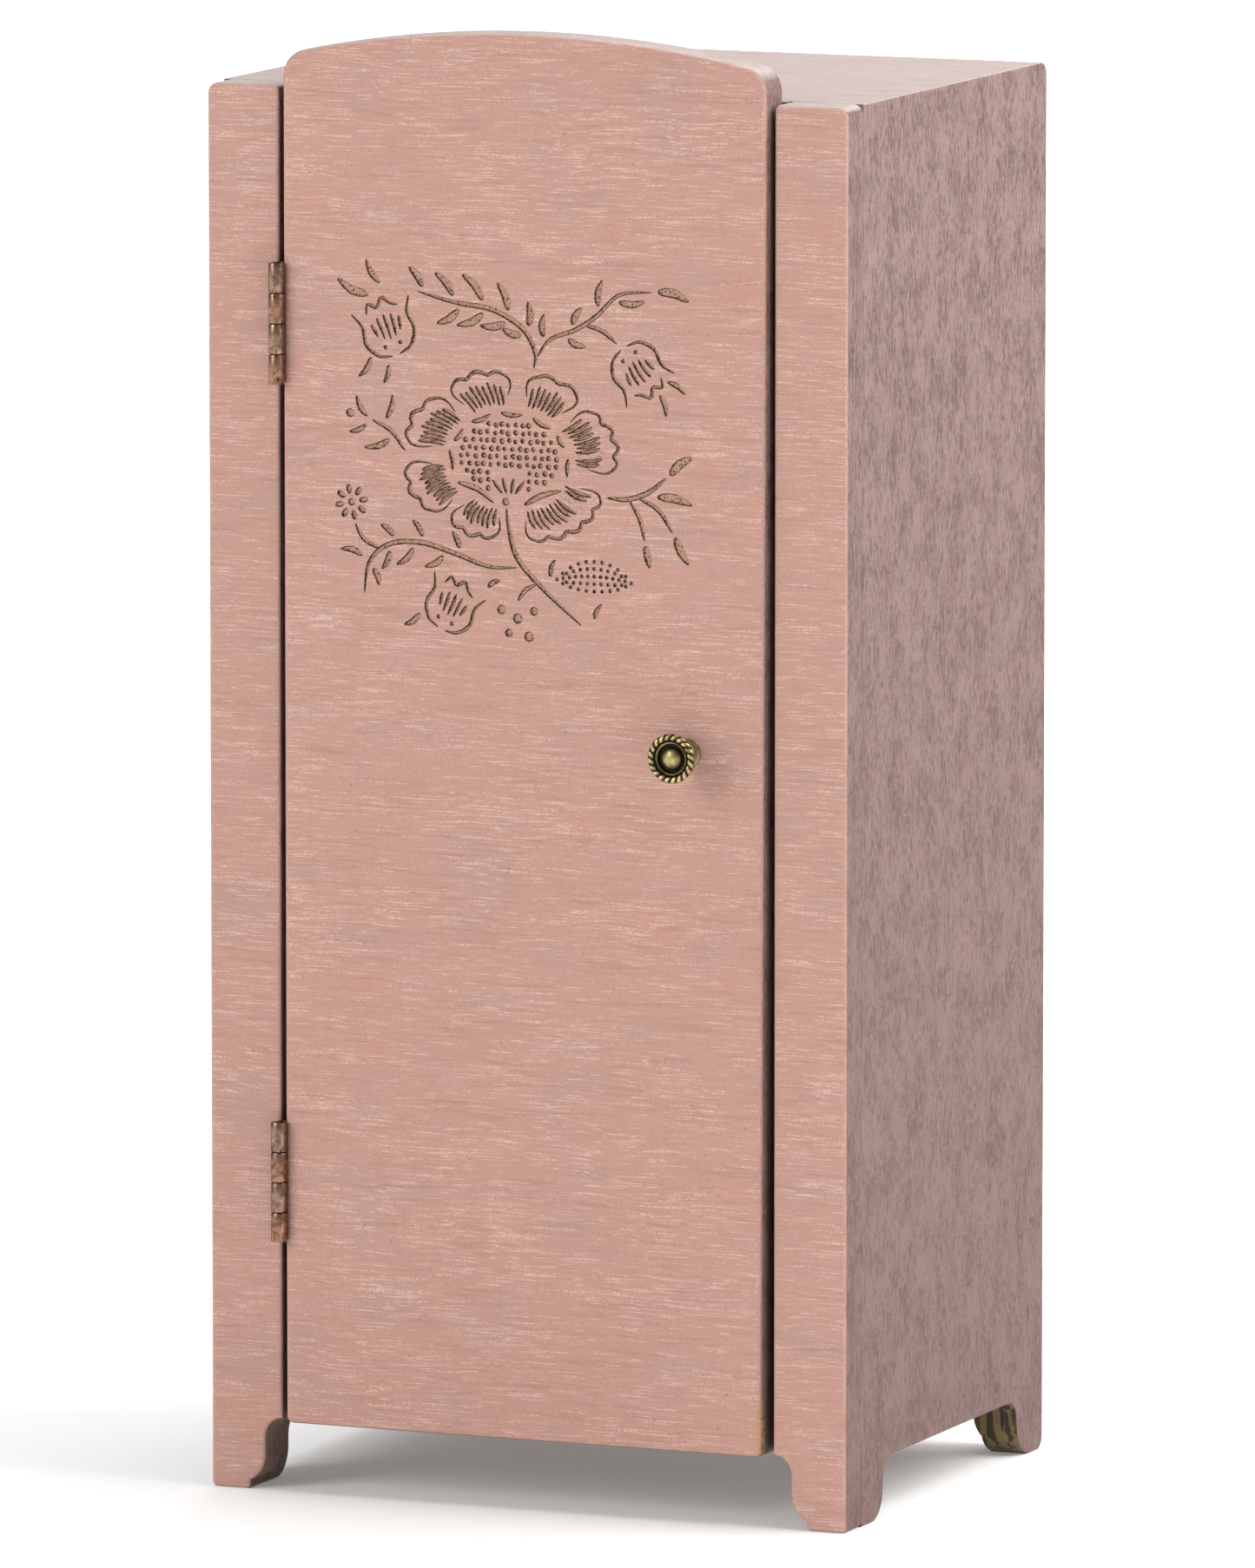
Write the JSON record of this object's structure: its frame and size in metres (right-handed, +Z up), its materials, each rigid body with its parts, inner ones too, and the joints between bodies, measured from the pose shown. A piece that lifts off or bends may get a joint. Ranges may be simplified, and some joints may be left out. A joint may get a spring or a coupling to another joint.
{
  "type": "miniature wardrobe",
  "caption": "Dolls'-house wardrobe with an arched engraved door on butt hinges, a round knob, bracket feet and a hanging rail.",
  "frame": {"origin": "on the floor, under the middle of the closed wardrobe's box, knob included", "axes": "+X to the right as seen from the front, +Y to the back, +Z up; the door faces -Y"},
  "size_m": [0.102, 0.0864, 0.219],
  "materials": {
    "pink_paint": "brushed dusty-pink chalk paint over wood, with pale streaks",
    "mauve_paint": "thin mauve paint over open-grained wood",
    "bare_beech": "bare turned hardwood",
    "antique_brass": "antiqued, dark in the hollows",
    "bronzed_hinge": "dark bronzed brass, worn bright along the knuckles",
    "hinge_nails": "bronzed",
    "bright_steel": "plated"
  },
  "bodies": {
    "carcass": {"side_panel_left": "mauve_paint", "side_panel_right": "mauve_paint", "back_panel": "mauve_paint", "top_panel": "mauve_paint", "bottom_panel": "mauve_paint", "front_stile_left": "pink_paint", "front_stile_right": "pink_paint", "stile_dowels_left": "bare_beech", "stile_dowels_right": "bare_beech", "back_panel_dowels": "bare_beech", "top_panel_dowels": "bare_beech", "bottom_panel_dowels": "bare_beech", "clothes_rail": "bare_beech", "catch_magnet": "bright_steel", "upper_hinge_pin": "bronzed_hinge", "lower_hinge_pin": "bronzed_hinge", "upper_hinge_frame_leaf": "bronzed_hinge", "lower_hinge_frame_leaf": "bronzed_hinge", "upper_hinge_frame_nails": "hinge_nails", "lower_hinge_frame_nails": "hinge_nails"},
    "door": {"door_panel": "pink_paint", "upper_hinge_door_leaf": "bronzed_hinge", "lower_hinge_door_leaf": "bronzed_hinge", "upper_hinge_door_nails": "hinge_nails", "lower_hinge_door_nails": "hinge_nails", "knob": "antique_brass", "knob_screw": "bright_steel", "catch_strike": "bright_steel"}
  },
  "joints": [
    {"name": "door_swing", "type": "hinge", "parent": "carcass", "child": "door", "pos_m": [-0.03885, -0.03766, 0.105], "axis": [0, 0, -1], "range_deg": [0, 180]}
  ]
}
